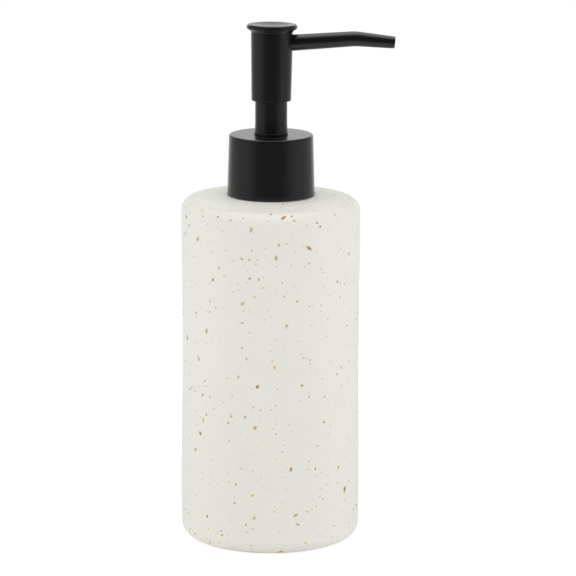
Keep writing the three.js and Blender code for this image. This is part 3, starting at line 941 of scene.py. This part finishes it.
def make_head_core():
    radius, bottom, top = measures("head_core")
    socket = 3.8
    chamber = 2.1
    chamber_floor = 180.7
    chamber_top = SPOUT_ROOT.z + 1.6
    channel_radius = 1.4
    corners = [
        (0, top),
        (radius, top, 0.3),
        (radius, bottom, 0.3),
        (socket, bottom, 0.3),
        (socket, chamber_floor, 0.1),
        (chamber, chamber_floor, 0.1),
        (chamber, chamber_top, 0.2),
        (0, chamber_top),
    ]
    obj = lathe("head_core_body", rounded(corners), INNER_SIDES)
    way = (SPOUT_BEND - SPOUT_ROOT).normalized()
    channel = rod_along("channel", channel_radius, SPOUT_ROOT - way * SPOUT_ROOT.x, SPOUT_ROOT + way)
    combine(obj, channel, "DIFFERENCE")
    pocket = rod_along("pocket", SPOUT_ROOT_RADIUS + 0.05, SPOUT_ROOT - way * 0.1, SPOUT_ROOT + way * 8)
    combine(obj, pocket, "DIFFERENCE")
    settle(obj, "head_core", "head")


def spout_line(way):
    """(point, direction) at a distance along the spout's middle line: straight, arc, straight."""
    before = math.atan2(SPOUT_BEND.z - SPOUT_ROOT.z, SPOUT_BEND.x - SPOUT_ROOT.x)
    after = math.atan2(SPOUT_TIP.z - SPOUT_BEND.z, SPOUT_TIP.x - SPOUT_BEND.x)
    straight = (SPOUT_BEND - SPOUT_ROOT).length - SPOUT_BEND_REACH
    arc_radius = SPOUT_BEND_REACH / math.tan((before - after) / 2)
    arc = arc_radius * (before - after)
    ahead = Vector((math.cos(before), 0, math.sin(before)))
    if way <= straight:
        return SPOUT_ROOT + ahead * way, before
    turned = min(way - straight, arc) / arc_radius
    now = before - turned
    middle = SPOUT_ROOT + ahead * straight + Vector((ahead.z, 0, -ahead.x)) * arc_radius
    point = middle + Vector((-math.sin(now), 0, math.cos(now))) * arc_radius
    if way > straight + arc:
        point += Vector((math.cos(after), 0, math.sin(after))) * (way - straight - arc)
    return point, now


def make_spout():
    bend = (SPOUT_BEND - SPOUT_ROOT).length
    length = bend + (SPOUT_TIP - SPOUT_BEND).length
    lip_start = length - 0.75
    lip_radius = SPOUT_TIP_RADIUS - 0.06
    corners = [
        (SPOUT_ROOT_RADIUS, 0, 0.1),
        (SPOUT_BEND_RADIUS, bend, 12),
        (SPOUT_TIP_RADIUS, lip_start),
        (lip_radius, lip_start + 0.05),
        (lip_radius, length, 0.28),
        (SPOUT_TIP_RADIUS - SPOUT_WALL, length, 0.15),
        (SPOUT_BEND_RADIUS - SPOUT_WALL, bend),
        (SPOUT_ROOT_RADIUS - SPOUT_WALL, 0, 0.1),
    ]
    obj = lathe("spout_tube", divided(rounded(corners, closed=True), 0.8), NECK_SIDES)
    for vertex in obj.data.vertices:
        up, aside, way = vertex.co / MM
        point, angle = spout_line(way)
        point += Vector((-math.sin(angle), 0, math.cos(angle))) * up
        vertex.co = Vector((point.x, aside, point.z)) * MM
    obj.data.flip_normals()  # laying it along X turned the mesh inside out
    obj.data.update()
    lean_head(obj)
    settle(obj, "spout", "head")


# ---- Stage --------------------------------------------------------------------

FLOOR_RADIUS = 450
FLOOR_THICKNESS = 4
FLOOR_GLOW = 0.36
BACKDROP_GLOW = 0.35  # added where the camera sees the floor

# Brightness of the surroundings by direction: from, to, brightness at each
FRONT_TO_SIDE = (-0.88, -0.45, 0.05, 0.5)  # along Y
SIDE_TO_BACK = (0.7, 0.98, 0.0, 0.85)  # along Y, added to the first
WALL_TO_CEILING = (0.22, 0.6, 1.0, 0.35)  # along Z, a factor

Softbox = namedtuple("Softbox", "name place aim size watts in_reflections")
SOFTBOXES = (
    Softbox("overhead", (0, 0.27, 1.05), (0, 0.25, 0), (1.1, 1.1), 8.2, True),
    Softbox("top_fill", (0, -0.25, 1.05), (0, 0, 0.1), (1.1, 1.1), 7.1, False),
    Softbox("front_fill", (0, -1.45, 0.3), (0, 0, 0.07), (1.4, 0.6), 2.6, False),
    Softbox("left_fill", (-1.39, -0.63, 0.42), (0, 0, 0.07), (1.0, 0.7), 10.5, False),
    Softbox("right_fill", (1.39, -0.63, 0.42), (0, 0, 0.07), (1.0, 0.7), 10.5, False),
)


def make_floor():
    corners = [(0, -FLOOR_THICKNESS), (FLOOR_RADIUS, -FLOOR_THICKNESS), (FLOOR_RADIUS, 0), (0, 0)]
    floor = lathe("floor", corners, NECK_SIDES)
    nodes = MaterialNodes("floor_paper")
    colour = nodes.mix(nodes.noise(40, 2.0), rgb(0.50, 0.50, 0.495), rgb(0.52, 0.52, 0.515))
    seen = nodes.add("ShaderNodeLightPath").outputs["Is Camera Ray"]
    strength = nodes.math("MULTIPLY_ADD", seen, BACKDROP_GLOW, FLOOR_GLOW)
    glow = {"Emission_Color": rgb(1, 1, 1), "Emission_Strength": strength}
    floor.data.materials.append(nodes.surface(Base_Color=colour, Roughness=0.9, **glow))


def add_softbox(softbox):
    data = bpy.data.lights.new(softbox.name, "AREA")
    data.shape = "RECTANGLE"
    data.size, data.size_y = softbox.size
    data.energy = softbox.watts
    light = bpy.data.objects.new(softbox.name, data)
    light.location = softbox.place
    way = Vector(softbox.aim) - Vector(softbox.place)
    light.rotation_euler = way.to_track_quat("-Z", "Y").to_euler()
    light.visible_glossy = softbox.in_reflections
    light.visible_diffuse = not softbox.in_reflections
    bpy.context.scene.collection.objects.link(light)


def white_background(nodes, strength):
    node = nodes.add("ShaderNodeBackground")
    nodes.put(node.inputs["Color"], rgb(1, 1, 1))
    nodes.put(node.inputs["Strength"], strength)
    return node.outputs["Background"]


def make_world():
    """White surroundings, dark where the camera stands, as on a studio table."""
    world = bpy.data.worlds.new("studio")
    world.use_nodes = True
    world.node_tree.nodes.clear()
    nodes = Nodes(world.node_tree)
    way = nodes.add("ShaderNodeTexCoord").outputs["Generated"]
    level_way = nodes.vector("NORMALIZE", nodes.vector("MULTIPLY", way, (1, 1, 0)))
    behind = nodes.along("Y", level_way)
    around = nodes.math("ADD", nodes.ramp(behind, *FRONT_TO_SIDE), nodes.ramp(behind, *SIDE_TO_BACK))
    dimming = nodes.ramp(nodes.along("Z", way), *WALL_TO_CEILING)
    pick = nodes.add("ShaderNodeMixShader")
    nodes.put(pick.inputs["Fac"], nodes.add("ShaderNodeLightPath").outputs["Is Camera Ray"])
    nodes.put(pick.inputs[1], white_background(nodes, nodes.math("MULTIPLY", around, dimming)))
    nodes.put(pick.inputs[2], white_background(nodes, 1.0))
    nodes.put(nodes.add("ShaderNodeOutputWorld").inputs["Surface"], pick.outputs["Shader"])
    bpy.context.scene.world = world


def main():
    make_camera()
    make_world()
    for softbox in SOFTBOXES:
        add_softbox(softbox)
    make_floor()
    make_bottle()
    make_neck_insert()
    make_collar()
    make_neck_gasket()
    make_stem_guide()
    make_pump_housing()
    make_ball("inlet_ball", "inlet_ball_steel", "foot_valve")
    make_ball_cage()
    make_dip_tube()
    make_return_spring()
    make_piston()
    make_piston_plug()
    make_piston_stem()
    make_ball("outlet_ball", "outlet_ball_steel", "outlet_valve")
    make_head_core()
    make_head_shell()
    make_head_cap()
    make_spout()
    bpy.context.scene.view_settings.view_transform = "Standard"


main()
